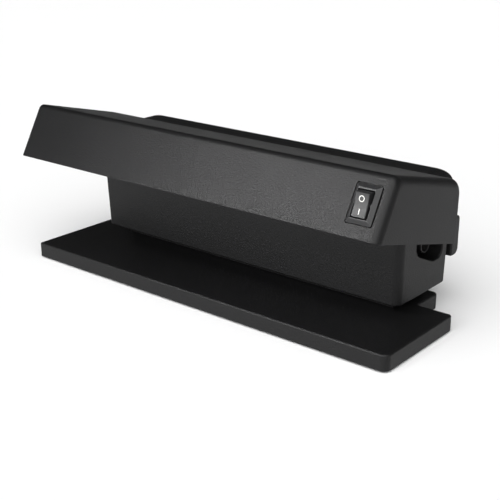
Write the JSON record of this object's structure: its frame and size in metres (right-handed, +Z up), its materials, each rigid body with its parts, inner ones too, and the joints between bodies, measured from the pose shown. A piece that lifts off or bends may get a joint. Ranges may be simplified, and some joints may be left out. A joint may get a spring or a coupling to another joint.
{
  "type": "counterfeit money detector",
  "caption": "Desktop banknote checker: flat viewing plate, rear housing and a long hood with an ultraviolet tube, a rocker switch on its front and cord posts behind.",
  "frame": {"origin": "on the surface it stands on, under the middle of the whole object's box", "axes": "+X to the right seen from the front, along the hood; +Y to the rear; +Z up"},
  "size_m": [0.277, 0.1222, 0.105],
  "materials": {
    "black_plastic": "fine satin texture",
    "switch_plastic": "smooth satin",
    "white_plastic": "satin",
    "rubber": "matt",
    "steel": "zinc plated",
    "aluminium": "bright sheet",
    "brass": "plain",
    "copper": "enamelled winding",
    "violet_glass": "dark violet filter glass",
    "brown_sleeve": "soft",
    "blue_sleeve": "soft",
    "white_sleeve": "soft"
  },
  "bodies": {
    "housing": {"base_plate": "black_plastic", "base_cover": "black_plastic", "base_foot_1": "rubber", "base_foot_2": "rubber", "base_foot_3": "rubber", "base_foot_4": "rubber", "base_cover_screw_1": "steel", "base_cover_screw_2": "steel", "base_cover_screw_3": "steel", "base_cover_screw_4": "steel", "pedestal_screw_1": "steel", "pedestal_screw_2": "steel", "pedestal_screw_3": "steel", "pedestal_screw_4": "steel", "housing_shell": "black_plastic", "rear_cover": "black_plastic", "rear_cover_screw_1": "steel", "rear_cover_screw_2": "steel", "rear_cover_screw_3": "steel", "rear_cover_screw_4": "steel", "cord_post_left": "black_plastic", "cord_post_right": "black_plastic", "inlet_body": "switch_plastic", "inlet_pin_1": "brass", "inlet_pin_2": "brass", "hood_shell": "black_plastic", "hood_screw_1": "steel", "hood_screw_2": "steel", "hood_screw_3": "steel", "lamp_tray": "black_plastic", "tray_screw_1": "steel", "tray_screw_2": "steel", "reflector": "aluminium", "lamp_holder_left": "white_plastic", "lamp_holder_right": "white_plastic", "switch_body": "switch_plastic", "rocker_pin": "steel", "switch_blade_1": "brass", "switch_blade_2": "brass", "starter": "white_plastic", "starter_socket": "white_plastic", "choke_core": "steel", "choke_winding": "copper", "choke_bracket": "steel", "choke_screw_1": "steel", "choke_screw_2": "steel", "terminal_block": "white_plastic", "wire_inlet_to_switch": "brown_sleeve", "wire_switch_to_choke": "brown_sleeve", "wire_choke_to_lamp": "white_sleeve", "wire_lamp_to_starter": "white_sleeve", "wire_starter_to_lamp": "white_sleeve", "wire_lamp_to_block": "blue_sleeve", "wire_inlet_to_block": "blue_sleeve"},
    "rocker": {"switch_rocker": "switch_plastic"},
    "lamp": {"uv_tube": "violet_glass", "tube_cap_left": "aluminium", "tube_cap_right": "aluminium"}
  },
  "joints": [
    {"name": "rocker_swing", "type": "hinge", "parent": "housing", "child": "rocker", "pos_m": [0.1221, -0.05189, 0.09027], "axis": [-1, 0, 0], "range_deg": [0, 22]},
    {"name": "lamp_turn", "type": "hinge", "parent": "housing", "child": "lamp", "pos_m": [-0.01, -0.02652, 0.07984], "axis": [1, 0, 0], "range_deg": [0, 90]}
  ]
}
